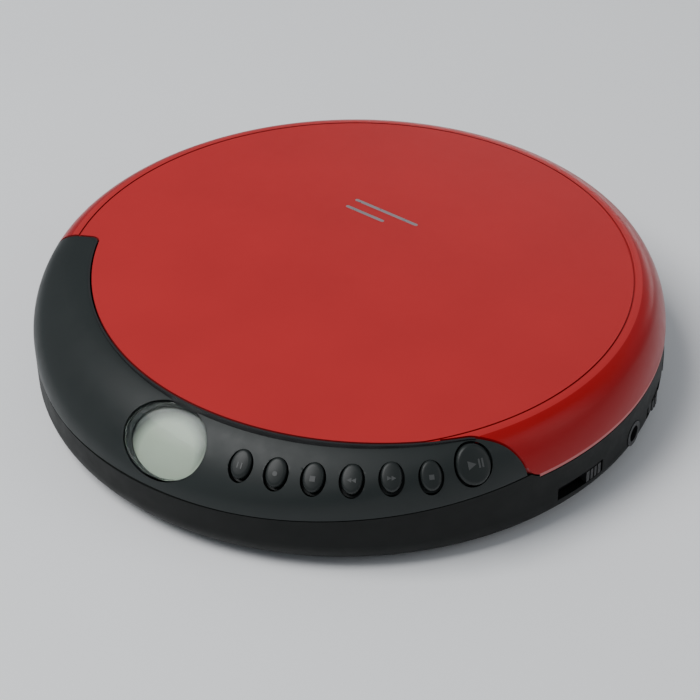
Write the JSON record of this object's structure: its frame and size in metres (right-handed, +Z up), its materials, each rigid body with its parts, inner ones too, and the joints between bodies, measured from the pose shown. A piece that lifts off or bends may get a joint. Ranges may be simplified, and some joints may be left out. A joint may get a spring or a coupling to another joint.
{
  "type": "portable CD player",
  "caption": "Round battery-powered portable disc player with a hinged lid, sloped front keys, a round display window and side sockets.",
  "frame": {"origin": "on the table under the middle of the round body", "axes": "+Z up, -Y to the front with the display, +X to the right side with the sockets"},
  "size_m": [0.14, 0.14, 0.0265],
  "materials": {
    "body_plastic": "satin",
    "lid_red": "satin metallic lacquer",
    "panel_plastic": "gloss",
    "clear_lens": "clear",
    "display": "matt grey-green",
    "black_plastic": "matt",
    "rubber": "matt",
    "steel": "brushed",
    "nickel": "plated",
    "board_green": "solder mask",
    "white_plastic": "natural",
    "optic": "coated",
    "cable": "polyimide film"
  },
  "bodies": {
    "body": {"base_shell": "body_plastic", "bass_switch": "steel", "battery_contacts": "nickel", "board_capacitors": "nickel", "board_chips": "black_plastic", "board_screws": "steel", "case_screws": "steel", "chassis": "steel", "chassis_screws": "steel", "control_panel": "panel_plastic", "damper_rubbers": "rubber", "dc_jack": "black_plastic", "deck": "black_plastic", "feet": "rubber", "flex_cable": "cable", "gear_axle": "steel", "guide_rails": "steel", "hinge_pin": "steel", "hold_switch": "steel", "key_board": "board_green", "key_switches": "black_plastic", "lcd_bezel": "black_plastic", "lcd_lens": "clear_lens", "lcd_module": "display", "line_jack": "black_plastic", "main_board": "board_green", "phones_jack": "black_plastic", "sled_motor": "steel", "spindle_motor": "steel", "volume_pot": "steel"},
    "lid": {"lid_shell": "lid_red"},
    "battery_door_body": {"battery_door": "body_plastic"},
    "open_slider_body": {"open_slider": "black_plastic"},
    "turntable_body": {"turntable": "black_plastic", "chuck_balls": "nickel", "motor_shaft": "steel"},
    "sled_body": {"sled": "black_plastic", "sled_rack": "white_plastic", "objective_holder": "black_plastic", "objective_lens": "optic"},
    "drive_gear_body": {"drive_gear": "white_plastic"},
    "motor_pinion_body": {"motor_pinion": "white_plastic"},
    "volume_wheel_body": {"volume_wheel": "black_plastic"},
    "hold_body": {"hold_knob": "black_plastic"},
    "bass_body": {"bass_knob": "black_plastic"},
    "key_play_body": {"key_play": "panel_plastic"},
    "key_1_body": {"key_1": "panel_plastic"},
    "key_2_body": {"key_2": "panel_plastic"},
    "key_3_body": {"key_3": "panel_plastic"},
    "key_4_body": {"key_4": "panel_plastic"},
    "key_5_body": {"key_5": "panel_plastic"},
    "key_6_body": {"key_6": "panel_plastic"}
  },
  "joints": [
    {"name": "lid_hinge", "type": "hinge", "parent": "body", "child": "lid", "pos_m": [0, 0.067, 0.0134], "axis": [-1, 0, 0], "range_deg": [0, 65]},
    {"name": "battery_door_hinge", "type": "hinge", "parent": "body", "child": "battery_door_body", "pos_m": [0, 0.0266, 0.0022], "axis": [-1, 0, 0], "range_deg": [0, 80]},
    {"name": "open_slide", "type": "hinge", "parent": "body", "child": "open_slider_body", "pos_m": [0, 0, 0.007], "axis": [0, 0, -1], "range_deg": [0, 3], "stiffness_Nm_per_rad": 0.4},
    {"name": "key_1_press", "type": "slide", "parent": "body", "child": "key_1_body", "axis": [-0.1813, 0.654, -0.7345], "range_m": [0, 0.0008], "stiffness_N_per_m": 400},
    {"name": "key_2_press", "type": "slide", "parent": "body", "child": "key_2_body", "axis": [-0.2385, 0.6343, -0.7354], "range_m": [0, 0.0008], "stiffness_N_per_m": 400},
    {"name": "key_3_press", "type": "slide", "parent": "body", "child": "key_3_body", "axis": [-0.2904, 0.6013, -0.7444], "range_m": [0, 0.0008], "stiffness_N_per_m": 400},
    {"name": "key_4_press", "type": "slide", "parent": "body", "child": "key_4_body", "axis": [-0.3346, 0.5564, -0.7606], "range_m": [0, 0.0008], "stiffness_N_per_m": 400},
    {"name": "key_5_press", "type": "slide", "parent": "body", "child": "key_5_body", "axis": [-0.4254, 0.5266, -0.736], "range_m": [0, 0.0008], "stiffness_N_per_m": 400},
    {"name": "key_6_press", "type": "slide", "parent": "body", "child": "key_6_body", "axis": [-0.5427, 0.4984, -0.6761], "range_m": [0, 0.0008], "stiffness_N_per_m": 400},
    {"name": "key_play_press", "type": "slide", "parent": "body", "child": "key_play_body", "axis": [-0.6726, 0.4202, -0.6091], "range_m": [0, 0.0008], "stiffness_N_per_m": 400},
    {"name": "turntable_spin", "type": "hinge", "parent": "body", "child": "turntable_body", "pos_m": [0.0024, 0.0042, 0.018], "axis": [0, 0, 1], "continuous": true},
    {"name": "sled_slide", "type": "slide", "parent": "body", "child": "sled_body", "axis": [-1, 0, 0], "range_m": [0, 0.033]},
    {"name": "drive_gear_spin", "type": "hinge", "parent": "body", "child": "drive_gear_body", "pos_m": [-0.027, -0.0163, 0.014], "axis": [0, 0, 1], "range_deg": [0, 422]},
    {"name": "motor_pinion_spin", "type": "hinge", "parent": "body", "child": "motor_pinion_body", "pos_m": [-0.02175, -0.02539, 0.015], "axis": [0, 0, 1], "range_deg": [-1052, 0]},
    {"name": "volume_turn", "type": "hinge", "parent": "body", "child": "volume_wheel_body", "pos_m": [0.05947, 0.02048, 0.0065], "axis": [0, 0, 1], "range_deg": [0, 270]},
    {"name": "hold_slide", "type": "slide", "parent": "body", "child": "hold_body", "axis": [-0.5, -0.866, 0], "range_m": [0, 0.0025]},
    {"name": "bass_slide", "type": "slide", "parent": "body", "child": "bass_body", "axis": [-0.682, -0.7314, 0], "range_m": [0, 0.0025]}
  ],
  "couplings": [
    {"joint": "drive_gear_spin", "follows": "sled_slide", "rad_per_m": 222.22},
    {"joint": "motor_pinion_spin", "follows": "sled_slide", "rad_per_m": -555.56}
  ]
}
